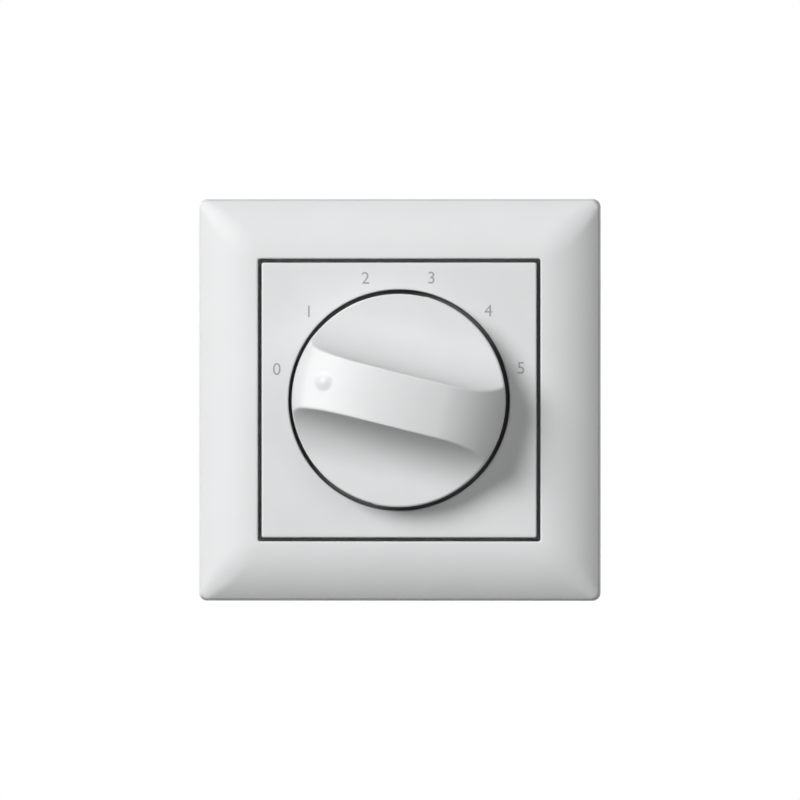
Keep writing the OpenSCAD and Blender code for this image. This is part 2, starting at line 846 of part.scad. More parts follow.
// The places of the fixed contacts: one for each position, on both poles
module at_contacts() {
    for (turn = [0, 180], i = [0:positions - 1])
        at_angle(first_angle + turn - i * index_step, contact_ring_d / 2) children();
}

module at_poles() {
    for (turn = [0, 180])
        at_angle(pole_angle + turn, pole_ring_d / 2) children();
}

module switch_base() {
    color("#7d4a2a") facing_front() difference() {
        rod(case_d / 2, base_back_z, base_z);
        rod(pivot_d / 2 + run_clear, base_z - pivot_l - push_clear, base_z + over);
        at_contacts() rod(pin_d / 2 + push_clear, base_back_z - over, base_z + over);
        at_poles() rod(pin_d / 2 + push_clear, base_back_z - over, base_z + over);
        case_screw_holes(case_screw_d / 2 + push_clear, base_back_z - over, base_z + over);
    }
}

module fixed_contacts() {
    color("#d8dadc") facing_front() at_contacts() {
        rod(contact_d / 2, base_z, contact_z);
        rod(pin_d / 2, pin_z, base_z);
    }
}

module pole_contacts() {
    outer = (pole_ring_d + pole_w) / 2;
    color("#d8dadc") facing_front() {
        for (turn = [0, 180]) rotate(pole_angle + turn) intersection() {
            ring((pole_ring_d - pole_w) / 2, outer, base_z, contact_z);
            translate([pole_gap / 2, -outer, base_z]) cube([outer, 2 * outer, contact_h]);
        }
        at_poles() rod(pin_d / 2, pin_z, base_z);
    }
}

// A slotted cheese-head screw whose head lies behind the plane at low
module slotted_screw(thread_d, head_d, head_height, length, low) {
    difference() {
        union() {
            rod(head_d / 2, low - head_height, low);
            rod(thread_d / 2, low, low + length);
        }
        translate([-head_d, -driver_w / 2, low - head_height - over])
            cube([2 * head_d, driver_w, over + driver_depth]);
    }
}

module case_screws() {
    color("silver") facing_front() for (turn = [0, 180])
        at_angle(case_screw_angle + turn, case_screw_at)
            slotted_screw(case_screw_d, case_screw_d + head_over, head_h, base_t + case_screw_l, base_back_z);
}

// The places of the wires on one terminal block
module at_ways() {
    for (i = [0:ways - 1])
        translate([(i - (ways - 1) / 2) * pitch, 0, 0]) children();
}

module tail(clear, low, high) {
    width = tail_w + 2 * clear;
    translate([-width / 2, way_y - width / 2, low]) cube([width, width, high - low]);
}

module circuit_board() {
    color("#1f6a45") facing_front() difference() {
        translate([0, 0, board_back_z]) linear_extrude(board_t) intersection() {
            circle(board_d / 2);
            square([board_d, board_h], center = true);
        }
        at_contacts() rod(pin_d / 2 + push_clear, board_back_z - over, board_z + over);
        at_poles() rod(pin_d / 2 + push_clear, board_back_z - over, board_z + over);
        for (side = [-1, 1])
            translate([side * pillar_spacing / 2, 0, 0])
                rod(board_screw_d / 2 + push_clear, board_back_z - over, board_z + over);
        for (turn = [0, 180])
            rotate(turn) at_ways() tail(push_clear, board_back_z - over, board_z + over);
    }
}

// A moulded block with a sloped wire side, a wire entry and a screw well for each wire
module terminal_block() {
    length = ways * pitch + 2 * block_end_t;
    back_y = block_at - block_depth;
    slope_z = block_z + block_slope_h;
    difference() {
        translate([-length / 2, 0, 0]) rotate([90, 0, 90]) linear_extrude(length) polygon([
            [back_y, board_back_z], [block_at, board_back_z], [block_at, slope_z],
            [block_at - block_slope, block_z], [back_y, block_z]
        ]);
        at_ways() {
            translate([-entry_w / 2, block_at - entry_depth, entry_z])
                cube([entry_w, entry_depth + over, entry_h]);
            translate([0, way_y, 0]) rod(term_head_d / 2 + 3 * push_clear, block_z - over, entry_z + over);
            tail(push_clear, entry_z, board_back_z + over);
        }
    }
}

module upper_terminal_block() {
    color("#2f7d57") facing_front() terminal_block();
}

module lower_terminal_block() {
    color("#2f7d57") facing_front() rotate(180) terminal_block();
}

// A cage that the screw draws onto the wire, with its solder tail
module wire_clamp() {
    low = entry_z + push_clear;
    high = low + clamp_h;
    difference() {
        translate([-clamp_w / 2, way_y - clamp_depth / 2, low]) cube([clamp_w, clamp_depth, clamp_h]);
        translate([-clamp_w / 2 + clamp_t, way_y - clamp_depth, low + 2 * clamp_t])
            cube([clamp_w - 2 * clamp_t, 2 * clamp_depth, clamp_h - 3 * clamp_t]);
        translate([0, way_y, 0]) rod(term_screw_d / 2 + push_clear, low - over, low + 2 * clamp_t + over);
    }
    tail(0, high - clamp_t / 2, board_z + tail_out);
}

module terminal_clamps() {
    color("#cfd2d4") facing_front() for (turn = [0, 180]) rotate(turn) at_ways() wire_clamp();
}

module terminal_screws() {
    length = 3 * clamp_t;
    color("silver") facing_front() for (turn = [0, 180]) rotate(turn) at_ways()
        translate([0, way_y, 0])
            slotted_screw(term_screw_d, term_head_d, term_head_h, length, entry_z);
}

module board_pillars() {
    color("#c9a54e") facing_front() for (side = [-1, 1])
        translate([side * pillar_spacing / 2, 0, 0]) difference() {
            union() {
                translate([0, 0, board_z]) cylinder(r = pillar_af / 2 / cos(30), h = -board_z, $fn = 6);
                rod(rivet_d / 2, 0, support_t);
            }
            rod(board_screw_d / 2 + push_clear, board_z - over, board_z + board_screw_l + over);
        }
}

module board_screws() {
    color("silver") facing_front() for (side = [-1, 1])
        translate([side * pillar_spacing / 2, 0, 0])
            slotted_screw(
                board_screw_d, board_screw_d + head_over, head_h, board_t + board_screw_l, board_back_z
            );
}

cover_frame();
centre_plate();
selector_knob();
knob_clip();
cover_nut();
support_plate();
lock_washer();
switch_nut();
switch_case();
switch_bush();
stop_washer();
switch_shaft();
shaft_circlip();
index_wheel();
index_spring();
contact_rotor();
wiper_contacts();
switch_base();
fixed_contacts();
pole_contacts();
case_screws();
circuit_board();
upper_terminal_block();
lower_terminal_block();
terminal_clamps();
terminal_screws();
board_pillars();
board_screws();
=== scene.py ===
"""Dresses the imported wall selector: moulded front parts, numbers, metal, circuit board and studio light."""

import json
import math

import bmesh
import bpy
import numpy as np
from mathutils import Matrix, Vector


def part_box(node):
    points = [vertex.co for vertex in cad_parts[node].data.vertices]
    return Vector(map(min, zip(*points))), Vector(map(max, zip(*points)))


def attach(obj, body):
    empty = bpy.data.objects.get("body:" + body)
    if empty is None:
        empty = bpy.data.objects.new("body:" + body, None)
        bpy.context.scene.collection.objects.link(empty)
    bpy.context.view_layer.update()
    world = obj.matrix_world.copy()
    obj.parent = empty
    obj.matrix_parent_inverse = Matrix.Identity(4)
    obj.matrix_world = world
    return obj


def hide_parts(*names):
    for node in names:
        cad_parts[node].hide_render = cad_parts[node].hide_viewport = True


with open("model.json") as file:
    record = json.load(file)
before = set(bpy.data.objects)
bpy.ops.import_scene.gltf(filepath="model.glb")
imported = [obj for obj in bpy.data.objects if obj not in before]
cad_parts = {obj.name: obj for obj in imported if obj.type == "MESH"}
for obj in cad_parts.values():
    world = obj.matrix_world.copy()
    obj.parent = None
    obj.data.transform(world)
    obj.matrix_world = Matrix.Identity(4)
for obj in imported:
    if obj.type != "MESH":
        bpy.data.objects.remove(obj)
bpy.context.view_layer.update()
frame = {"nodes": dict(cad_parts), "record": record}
nodes = frame["nodes"]

# Lengths on the object are in millimetres: to the right, up, and out of the wall towards the viewer
MM = 0.001


def place(right, up, out):
    """A point in the frame's own metres."""
    return (right * MM, -out * MM, up * MM)


def at_angle(degrees, radius):
    """A place (right, up) round the knob's axis, at an angle that grows anticlockwise from the right."""
    return (radius * math.cos(math.radians(degrees)), radius * math.sin(math.radians(degrees)))


def turned(angle, along, across):
    """A place turned round the knob's axis."""
    cosine = math.cos(angle)
    sine = math.sin(angle)
    return (along * cosine - across * sine, along * sine + across * cosine)


def half_width(node):
    """Half the width of a node that lies round the knob's axis."""
    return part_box(node)[1].x / MM


def front_of(node):
    """How far a node reaches out of the wall."""
    return -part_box(node)[0].y / MM


def back_of(node):
    """How far out of the wall a node starts."""
    return -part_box(node)[1].y / MM


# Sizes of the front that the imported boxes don't give by themselves
FRAME_EDGE = 4.2
FRAME_DRAFT = 0.5
FRAME_WALL = 1.8
FRAME_GAP = 0.8
LEDGE_WIDTH = 2.6
PLATE_WALL = 1.6
PLATE_FACE = 2.0
WELL_GAP = 0.8
BUSH_HOLE = 5.05
KNOB_WALL = 1.8
WING_HALF = 5.45
WING_HEIGHT = 11.0
CREST_RADIUS = 42.0
TAIL_AT = 9.4
TAIL_RADIUS = 24.0
TAIL_SLOPE = math.radians(16)
FLANK_RADIUS = 10.4
HUB_RADIUS = 4.9
HUB_BACK = 9.0
HUB_SLOT = 1.0
HUB_SLOT_DEPTH = 4.0
BORE_RADIUS = 3.05
BORE_FLAT = 1.65
RIBS = 6
RIB_WIDTH = 1.2
RIB_START = 5.95
RIB_BACK = 7.8
SHAFT_END_GAP = 0.3
MARK_AT = 15.2
MARK_WIDTH = 2.9
MARK_HEIGHT = 0.4

# The pointer's first direction, in degrees, and the positions that follow it clockwise
FIRST_POSITION = 166.0
POSITION_STEP = 30.0
POSITIONS = 6

frame_half = half_width("cover_frame")
frame_front = front_of("cover_frame")
plate_half = half_width("centre_plate")
plate_front = front_of("centre_plate")
plate_back = back_of("centre_plate")
well_floor = back_of("cover_nut")
floor_back = front_of("switch_nut")
knob_radius = half_width("selector_knob")
knob_crest = front_of("selector_knob")
knob_flat = knob_crest - WING_HEIGHT
knob_back = back_of("selector_knob")
bore_front = front_of("switch_shaft") + SHAFT_END_GAP
support_front = front_of("support_plate")
board_front = front_of("circuit_board")
board_back = back_of("circuit_board")
opening_half = plate_half + FRAME_GAP
well_radius = knob_radius + WELL_GAP

# Finishes: what noise textures mostly give, and the sizes and depths of slow unevenness
NOISE_LOW = 0.3
NOISE_HIGH = 0.7
PLASTIC_IOR = 1.48
PLASTIC_UNEVEN = 0.04
WAVE_SIZE = 9.0
WAVE_DEPTH = 0.01
CLOUD_SIZE = 3.5
CLOUD_SMOOTHER = 0.03
CLOUD_ROUGHER = 0.04
LIGHT_STAIN = 0.6
FILLED_WAVE_SIZE = 6.0
FILLED_SMOOTHER = 0.05
FILLED_ROUGHER = 0.08
WEAVE_SIZE = 0.5
WEAVE_LIGHTER = 0.12
WEAVE_DARKER = -0.1
MASK_WAVE_SIZE = 2.0
MASK_WAVE_DEPTH = 0.02
MASK_SMOOTHEST = 0.24
MASK_ROUGHEST = 0.36

# Painted shade deep in the gap round the knob: depths under the plate's face where it starts and is full, how
# far it overlaps the gap, and its colour
PAINTED_SHADE_START = 0.12
PAINTED_SHADE_FULL = 0.3
PAINTED_SHADE_MARGIN = 0.5
PAINTED_SHADE_COLOUR = (0.24, 0.24, 0.245)


def new_material(name):
    """A material with its node tree and its Principled shader."""
    material = bpy.data.materials.new(name)
    material.use_nodes = True
    tree = material.node_tree
    return material, tree, tree.nodes["Principled BSDF"]


def object_coordinates(tree, stretch=(1, 1, 1)):
    """The piece's own coordinates, in metres, so a texture rides with the piece."""
    coordinates = tree.nodes.new("ShaderNodeTexCoord")
    mapping = tree.nodes.new("ShaderNodeMapping")
    mapping.inputs["Scale"].default_value = stretch
    tree.links.new(coordinates.outputs["Object"], mapping.inputs["Vector"])
    return mapping.outputs["Vector"]


def noise(tree, vector, size, detail=3.0, roughness=0.55):
    """Noise whose features are about as large as size, in millimetres."""
    node = tree.nodes.new("ShaderNodeTexNoise")
    node.inputs["Scale"].default_value = 1 / (size * MM)
    node.inputs["Detail"].default_value = detail
    node.inputs["Roughness"].default_value = roughness
    tree.links.new(vector, node.inputs["Vector"])
    return node.outputs["Fac"]


def ramp(tree, value, low, high):
    """A colour that goes from low to high with a noise's value."""
    node = tree.nodes.new("ShaderNodeValToRGB")
    node.color_ramp.elements[0].position = NOISE_LOW
    node.color_ramp.elements[0].color = (*low, 1)
    node.color_ramp.elements[1].position = NOISE_HIGH
    node.color_ramp.elements[1].color = (*high, 1)
    tree.links.new(value, node.inputs["Fac"])
    return node.outputs["Color"]


def uneven_roughness(tree, shader, value, low, high):
    """Roughness that goes from low to high with a noise's value."""
    node = tree.nodes.new("ShaderNodeMapRange")
    node.inputs["From Min"].default_value = NOISE_LOW
    node.inputs["From Max"].default_value = NOISE_HIGH
    node.inputs["To Min"].default_value = low
    node.inputs["To Max"].default_value = high
    tree.links.new(value, node.inputs["Value"])
    tree.links.new(node.outputs["Result"], shader.inputs["Roughness"])


def bump(tree, shader, height, depth, strength, below=None):
    """Bumps of about that depth, in millimetres, laid over those below."""
    node = tree.nodes.new("ShaderNodeBump")
    node.inputs["Strength"].default_value = strength
    node.inputs["Distance"].default_value = depth * MM
    tree.links.new(height, node.inputs["Height"])
    if below is not None:
        tree.links.new(below, node.inputs["Normal"])
    tree.links.new(node.outputs["Normal"], shader.inputs["Normal"])
    return node.outputs["Normal"]


def tint(colour, share):
    """A colour made lighter or darker by a share."""
    return tuple(min(1.0, channel * (1 + share)) for channel in colour)


def math_node(tree, operation, first, second=0):
    """The result of an operation on numbers, each a socket or a plain value."""
    node = tree.nodes.new("ShaderNodeMath")
    node.operation = operation
    for socket, value in zip(node.inputs, (first, second)):
        if isinstance(value, (int, float)):
            socket.default_value = value
        else:
            tree.links.new(value, socket)
    return node.outputs["Value"]


def gap_shade(tree, vector, colour):
    """Paints shade into a colour deep in the ring-shaped gap between the knob and its well."""
    split = tree.nodes.new("ShaderNodeSeparateXYZ")
    tree.links.new(vector, split.inputs["Vector"])
    right_squared = math_node(tree, "POWER", split.outputs["X"], 2)
    up_squared = math_node(tree, "POWER", split.outputs["Z"], 2)
    radius = math_node(tree, "SQRT", math_node(tree, "ADD", right_squared, up_squared))
    # Painted shade: dark where a point lies in the ring gap and far enough under the plate's face
    middle = (knob_radius + WELL_GAP / 2) * MM
    off_middle = math_node(tree, "ABSOLUTE", math_node(tree, "SUBTRACT", radius, middle))
    in_painted_shade = math_node(tree, "LESS_THAN", off_middle, (WELL_GAP / 2 + PAINTED_SHADE_MARGIN) * MM)
    depth = tree.nodes.new("ShaderNodeMapRange")
    depth.inputs["From Min"].default_value = -(plate_front - PAINTED_SHADE_START) * MM
    depth.inputs["From Max"].default_value = -(plate_front - PAINTED_SHADE_FULL) * MM
    tree.links.new(split.outputs["Y"], depth.inputs["Value"])
    mix = tree.nodes.new("ShaderNodeMixRGB")
    mix.inputs["Color2"].default_value = (*PAINTED_SHADE_COLOUR, 1)
    tree.links.new(math_node(tree, "MULTIPLY", in_painted_shade, depth.outputs["Result"]), mix.inputs["Fac"])
    tree.links.new(colour, mix.inputs["Color1"])
    return mix.outputs["Color"]


def moulded_plastic(name, colour, roughness=0.42, grain=0.16, grain_depth=0.004, vary=0.012, gap=False):
    """Moulded plastic: an eroded tool's fine grain, slow waviness and a little uneven gloss, with shade
    painted deep in the knob's gap if asked.
    """
    material, tree, shader = new_material(name)
    vector = object_coordinates(tree)
    slow = noise(tree, vector, WAVE_SIZE, detail=2.0)
    fine = noise(tree, vector, grain, detail=2.0, roughness=0.5)
    shade = ramp(tree, slow, tint(colour, -vary), tint(colour, vary))
    # Painted shade deep in the gap round the knob
    if gap:
        shade = gap_shade(tree, vector, shade)
    tree.links.new(shade, shader.inputs["Base Color"])
    uneven_roughness(tree, shader, slow, roughness - PLASTIC_UNEVEN, roughness + PLASTIC_UNEVEN)
    waves = bump(tree, shader, slow, WAVE_DEPTH, strength=0.6)
    bump(tree, shader, fine, grain_depth, strength=0.8, below=waves)
    shader.inputs["IOR"].default_value = PLASTIC_IOR
    return material


def rolled_metal(name, colour, roughness, stretch=(1, 1, 1), line=0.12, depth=0.003, stain=0.1):
    """Plated or drawn metal: fine lines along its grain and cloudy plating."""
    material, tree, shader = new_material(name)
    lines = noise(tree, object_coordinates(tree, stretch), line, detail=4.0, roughness=0.6)
    clouds = noise(tree, object_coordinates(tree), CLOUD_SIZE, detail=4.0, roughness=0.6)
    shade = ramp(tree, clouds, tint(colour, -stain), tint(colour, stain * LIGHT_STAIN))
    tree.links.new(shade, shader.inputs["Base Color"])
    uneven_roughness(tree, shader, clouds, roughness - CLOUD_SMOOTHER, roughness + CLOUD_ROUGHER)
    bump(tree, shader, lines, depth, strength=0.7)
    shader.inputs["Metallic"].default_value = 1.0
    return material


def filled_plastic(name, colour, roughness, speckle, size, depth):
    """Filled plastic or laminate: speckles of its filler and uneven gloss."""
    material, tree, shader = new_material(name)
    vector = object_coordinates(tree)
    grains = noise(tree, vector, size, detail=5.0, roughness=0.7)
    slow = noise(tree, vector, FILLED_WAVE_SIZE, detail=2.0)
    shade = ramp(tree, grains, tint(colour, -speckle), tint(colour, speckle))
    tree.links.new(shade, shader.inputs["Base Color"])
    uneven_roughness(tree, shader, slow, roughness - FILLED_SMOOTHER, roughness + FILLED_ROUGHER)
    bump(tree, shader, grains, depth, strength=0.8)
    return material


def solder_mask(name, colour):
    """Glossy solder mask over the weave of a glass-cloth board."""
    material, tree, shader = new_material(name)
    vector = object_coordinates(tree)
    weave = tree.nodes.new("ShaderNodeTexChecker")
    weave.inputs["Scale"].default_value = 1 / (WEAVE_SIZE * MM)
    weave.inputs["Color1"].default_value = (*tint(colour, WEAVE_LIGHTER), 1)
    weave.inputs["Color2"].default_value = (*tint(colour, WEAVE_DARKER), 1)
    tree.links.new(vector, weave.inputs["Vector"])
    tree.links.new(weave.outputs["Color"], shader.inputs["Base Color"])
    slow = noise(tree, vector, MASK_WAVE_SIZE)
    uneven_roughness(tree, shader, slow, MASK_SMOOTHEST, MASK_ROUGHEST)
    bump(tree, shader, slow, MASK_WAVE_DEPTH, strength=0.5)
    return material


# Colours are the record's, apart from the whites, which are set for this studio's light
WHITE = (0.725, 0.73, 0.735)
LIGHTER_WHITE = tint(WHITE, 0.01)
colours = {entry["slot"]: entry["base_color"] for entry in frame["record"]["materials"]}
colours.update(frame_white=LIGHTER_WHITE, plate_white=WHITE, knob_white=LIGHTER_WHITE)

# Lines of rolled sheet run up the plate, and those of turned parts run round the axis
UPRIGHT_LINES = (1, 1, 0.08)
ROUND_LINES = (0.05, 1, 0.05)
ZINC = dict(roughness=0.5, stretch=UPRIGHT_LINES, line=0.2, depth=0.002, stain=0.06)
FINISHES = {
    "frame_white": (moulded_plastic, dict(roughness=0.56)),
    # The plate's and the knob's whites get shade painted deep in the gap round the knob
    "plate_white": (moulded_plastic, dict(gap=True)),
    "knob_white": (moulded_plastic, dict(gap=True)),
    "zinc_steel": (rolled_metal, ZINC),
    "plated_steel": (rolled_metal, dict(roughness=0.26)),
    "shaft_steel": (rolled_metal, dict(roughness=0.24, stretch=ROUND_LINES, line=0.1)),
    "spring_steel": (rolled_metal, dict(roughness=0.3)),
    "bush_brass": (rolled_metal, dict(roughness=0.27, stretch=ROUND_LINES, line=0.1)),
    "case_black": (filled_plastic, dict(roughness=0.5, speckle=0.25, size=0.3, depth=0.006)),
    "index_acetal": (moulded_plastic, dict(roughness=0.36)),
    "base_brown": (filled_plastic, dict(roughness=0.45, speckle=0.2, size=0.4, depth=0.004)),
    "contact_bronze": (rolled_metal, dict(roughness=0.28)),
    "contact_silver": (rolled_metal, dict(roughness=0.25)),
    "board_green": (solder_mask, {}),
    "terminal_green": (moulded_plastic, dict(roughness=0.4, grain=0.2, grain_depth=0.005, vary=0.06)),
}
materials = {slot: make(slot, colours[slot], **look) for slot, (make, look) in FINISHES.items()}
for subpart in frame["record"]["subparts"]:
    mesh = nodes[subpart["node"]].data
    mesh.materials.clear()
    mesh.materials.append(materials[subpart["material_slot"]])

# Broken edges on the larger parts behind the front
WELD_DISTANCE = 0.001
FLAT_ANGLE = math.radians(0.5)
BROKEN_ANGLE = math.radians(40)
BROKEN_STEPS = 2
BROKEN_EDGES = {
    "support_plate": 0.15,
    "circuit_board": 0.1,
    "upper_terminal_block": 0.2,
    "lower_terminal_block": 0.2,
    "switch_case": 0.25,
    "board_screws": 0.1,
    "terminal_screws": 0.1,
    "board_pillars": 0.12,
    "switch_nut": 0.15,
    "cover_nut": 0.15,
}


def break_edges(node, width):
    """Bevels a node's sharp edges after its flat faces are joined up."""
    weld = node.modifiers.new("weld", "WELD")
    weld.merge_threshold = WELD_DISTANCE * MM
    flat = node.modifiers.new("flat", "DECIMATE")
    flat.decimate_type = "DISSOLVE"
    flat.angle_limit = FLAT_ANGLE
    edges = node.modifiers.new("edges", "BEVEL")
    edges.width = width * MM
    edges.segments = BROKEN_STEPS
    edges.limit_method = "ANGLE"
    edges.angle_limit = BROKEN_ANGLE


for node_name, edge_width in BROKEN_EDGES.items():
    break_edges(nodes[node_name], edge_width)


def add_object(name, data):
    """A new object in the scene."""
    added = bpy.data.objects.new(name, data)
    bpy.context.scene.collection.objects.link(added)
    return added


def add_piece(name, mesh, body, slot, replaced=None, sharp=30):
    """Puts a mesh into the scene as a piece that rides on a body and takes a slot's finish."""
    for face in mesh.polygons:
        face.use_smooth = True
    mesh.set_sharp_from_angle(angle=math.radians(sharp))
    mesh.materials.append(materials[slot])
    piece = add_object(name, mesh)
    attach(piece, body)
    if replaced:
        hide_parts(replaced)


def closed_mesh(name, points, faces):
    """A mesh of points and faces, with all faces turned outwards."""
    mesh = bpy.data.meshes.new(name)
    mesh.from_pydata(points, [], faces)
    work = bmesh.new()
    work.from_mesh(mesh)
    bmesh.ops.recalc_face_normals(work, faces=work.faces)
    work.to_mesh(mesh)
    work.free()
    return mesh


def band_faces(this, following, count):
    """Faces between two closed loops of points, given where each loop starts in the list of points."""
    steps = [(j, (j + 1) % count) for j in range(count)]
    return [(this + j, this + beside, following + beside, following + j) for j, beside in steps]


# Square and round rings are swept along directions that crowd towards the corners
OCTANT_STEPS = 40
CROWDING = 2.2


def sweep_directions():
    """Directions all the way round, in radians."""
    octant = [45 - 45 * (1 - i / OCTANT_STEPS) ** CROWDING for i in range(OCTANT_STEPS + 1)]
    quadrant = octant[:-1] + [90 - angle for angle in reversed(octant[1:])]
    return [math.radians(turn + angle) for turn in (0, 90, 180, 270) for angle in quadrant]


DIRECTIONS = sweep_directions()


def reach(angle, half, corner):
    """Distance to a rounded square's outline; a circle has a corner as large as its half."""
    along, across = sorted((abs(math.cos(angle)), abs(math.sin(angle))), reverse=True)
    if half * across / along <= half - corner:
        return half / along
    middle = half - corner
    inner = middle * (along + across)
    return inner + math.sqrt(max(0.0, inner * inner - 2 * middle * middle + corner * corner))


def soften(profile, steps=6):
    """Rounds a closed profile's corners: (half width, out, corner radius, edge radius) for each."""
    softened = []
    for i, entry in enumerate(profile):
        here = np.array(entry[:3], float)
        radius = entry[3]
        if not radius:
            softened.append(here)
            continue
        before = np.array(profile[i - 1][:3], float) - here
        after = np.array(profile[(i + 1) % len(profile)][:3], float) - here
        before /= np.hypot(before[0], before[1])
        after /= np.hypot(after[0], after[1])
        half_angle = math.acos(np.clip(before[:2] @ after[:2], -1, 1)) / 2
        cut = radius / math.tan(half_angle)
        weight = math.sin(half_angle)
        for k in range(steps + 1):
            share = k / steps
            first = (1 - share) ** 2
            middle = 2 * share * (1 - share) * weight
            last = share**2
            total = first * (here + before * cut) + middle * here + last * (here + after * cut)
            softened.append(total / (first + middle + last))
    return softened


def swept_ring(name, profile):
    """The mesh of a closed profile swept round the knob's axis along rounded squares and circles."""
    loops = soften(profile)
    count = len(DIRECTIONS)
    points = []
    faces = []
    for i, (half, out, corner) in enumerate(loops):
        for angle in DIRECTIONS:
            distance = reach(angle, half, min(corner, half))
            points.append(place(distance * math.cos(angle), distance * math.sin(angle), out))
        faces += band_faces(i * count, (i + 1) % len(loops) * count, count)
    return closed_mesh(name, points, faces)


# Cover frame: a crown from the opening down to a drafted side wall, hollow behind
CROWN_STEPS = 24
OUTER_CORNER = 1.6
HIP_CORNER = 4.0
OPENING_CORNER = 0.5
HOLLOW_CORNER = 0.6
FOOT_CORNER = 1.0
FOOT_EDGE = 0.2
INNER_FOOT_EDGE = 0.15
SHOULDER_EDGE = 0.6
OPENING_EDGE = 0.3
LEDGE_EDGE = 0.1

crown_foot = frame_half - FRAME_DRAFT
crown_run = crown_foot - opening_half
crown_drop = frame_front - FRAME_EDGE
crown_radius = (crown_run**2 + crown_drop**2) / (2 * crown_drop)
crown_middle = frame_front - crown_radius
ledge_inner = opening_half - LEDGE_WIDTH
inner_wall = opening_half + FRAME_WALL


def crown_out(half, inset=0.0):
    """How far out the crown, or the hollow under it, lies at a distance from the axis."""
    return crown_middle + math.sqrt((crown_radius - inset) ** 2 - (half - opening_half) ** 2)


def hip_corner(share):
    """Corner radius of the crown at a share of its turn, from 0 at the side wall to 1 at the opening."""
    swell = math.sin(math.pi * share)
    return OUTER_CORNER * (1 - share) + OPENING_CORNER * share + (HIP_CORNER - OUTER_CORNER) * swell


def frame_profile():
    """The frame's profile: up its side, in over the crown, down the opening and back under the crown."""
    profile = [
        (frame_half, 0, OUTER_CORNER, FOOT_EDGE),
        (crown_foot, FRAME_EDGE, OUTER_CORNER, SHOULDER_EDGE),
    ]
    full_turn = math.asin(crown_run / crown_radius)
    for k in range(1, CROWN_STEPS):
        share = k / CROWN_STEPS
        half = opening_half + crown_radius * math.sin(full_turn * (1 - share))
        profile.append((half, crown_out(half), hip_corner(share), 0))
    profile += [
        (opening_half, frame_front, OPENING_CORNER, OPENING_EDGE),
        (opening_half, plate_back, OPENING_CORNER, 0),
        (ledge_inner, plate_back, OPENING_CORNER, LEDGE_EDGE),
        (ledge_inner, support_front, OPENING_CORNER, LEDGE_EDGE),
        (inner_wall, support_front, OPENING_CORNER, 0),
    ]
    hollow_end = crown_out(crown_foot - FRAME_WALL, FRAME_WALL)
    hollow_half = frame_half - FRAME_WALL - FRAME_DRAFT * hollow_end / FRAME_EDGE
    for k in range(CROWN_STEPS // 2 + 1):
        half = inner_wall + (hollow_half - inner_wall) * 2 * k / CROWN_STEPS
        profile.append((half, crown_out(half, FRAME_WALL), HOLLOW_CORNER, 0))
    profile.append((frame_half - FRAME_WALL, 0, FOOT_CORNER, INNER_FOOT_EDGE))
    return profile


frame_mesh = swept_ring("frame_shell", frame_profile())
add_piece("frame_shell", frame_mesh, "housing", "frame_white", "cover_frame")

# Centre plate: a flat face with a round well for the knob
PLATE_CORNER = 0.4
PLATE_EDGE = 0.3
PLATE_FOOT_EDGE = 0.15
FACE_MARGIN = 1.0
WELL_LIP = 0.4
WELL_FILLET = 0.4
WELL_BACK_EDGE = 0.3
BUSH_HOLE_EDGE = 0.15
well_outside = well_radius + PLATE_WALL
lip_outside = well_radius + FACE_MARGIN
plate_inside = plate_half - PLATE_WALL
face_back = plate_front - PLATE_FACE
plate_profile = [
    (plate_half, plate_back, PLATE_CORNER, PLATE_FOOT_EDGE),
    (plate_half, plate_front, PLATE_CORNER, PLATE_EDGE),
    (plate_half - FACE_MARGIN, plate_front, PLATE_CORNER, 0),
    (lip_outside, plate_front, lip_outside, 0),
    (well_radius, plate_front, well_radius, WELL_LIP),
    (well_radius, well_floor, well_radius, WELL_FILLET),
    (BUSH_HOLE, well_floor, BUSH_HOLE, BUSH_HOLE_EDGE),
    (BUSH_HOLE, floor_back, BUSH_HOLE, BUSH_HOLE_EDGE),
    (well_outside, floor_back, well_outside, WELL_BACK_EDGE),
    (well_outside, face_back, well_outside, 0),
    (plate_inside, face_back, PLATE_CORNER, 0),
    (plate_inside, plate_back, PLATE_CORNER, PLATE_FOOT_EDGE),
]
plate_mesh = swept_ring("plate_shell", plate_profile)
add_piece("plate_shell", plate_mesh, "housing", "plate_white", "centre_plate")

# Knob: an arch along the wing, hollow flanks across it and a round rim, all edges rounded
WING_EDGE = 0.4
RIM_EDGE = 0.45
MARK_EDGE = 0.3
NOSE_EDGE = 2.5
BACK_EDGE = 0.2
TAIL_ZONE = 0.7 * TAIL_AT

# Its mesh: rows at distances from an edge, two more down the rim, and how many lie between edges
NEAR_EDGE = [0, 0.06, 0.12, 0.18, 0.25, 0.33, 0.43, 0.55, 0.75, 1.05, 1.5]
DOWN_RIM = [2.5, 4.0]
LENGTHWAYS_ROWS = 60
CROSSWAYS_ROWS = 8
FLANK_ROWS = 24
HOLLOW_ROWS = 40
BORE_STEPS = 64
JOIN_DISTANCE = 1e-4

# The foot of the rim stays plain, and cuts run past the faces that they open
PLAIN_BACK = 1.0
OVERCUT = 1.0
HUB_SLOT_LENGTH = 3 * HUB_RADIUS

crest_middle = knob_crest - CREST_RADIUS
tail_along = TAIL_AT - TAIL_RADIUS * math.sin(TAIL_SLOPE)
tail_top = crest_middle + math.sqrt(CREST_RADIUS**2 - TAIL_AT**2)
tail_middle = tail_top - TAIL_RADIUS * math.cos(TAIL_SLOPE)
flank_foot = WING_HALF + FLANK_RADIUS
flank_middle = knob_flat + FLANK_RADIUS
ball_radius = ((MARK_WIDTH / 2) ** 2 + MARK_HEIGHT**2) / (2 * MARK_HEIGHT)
ball_reach = CREST_RADIUS + MARK_HEIGHT - ball_radius
mark_slope = math.asin(MARK_AT / CREST_RADIUS)
ball_along = math.sin(mark_slope) * ball_reach
ball_middle = np.array([ball_along, 0, crest_middle + math.cos(mark_slope) * ball_reach])


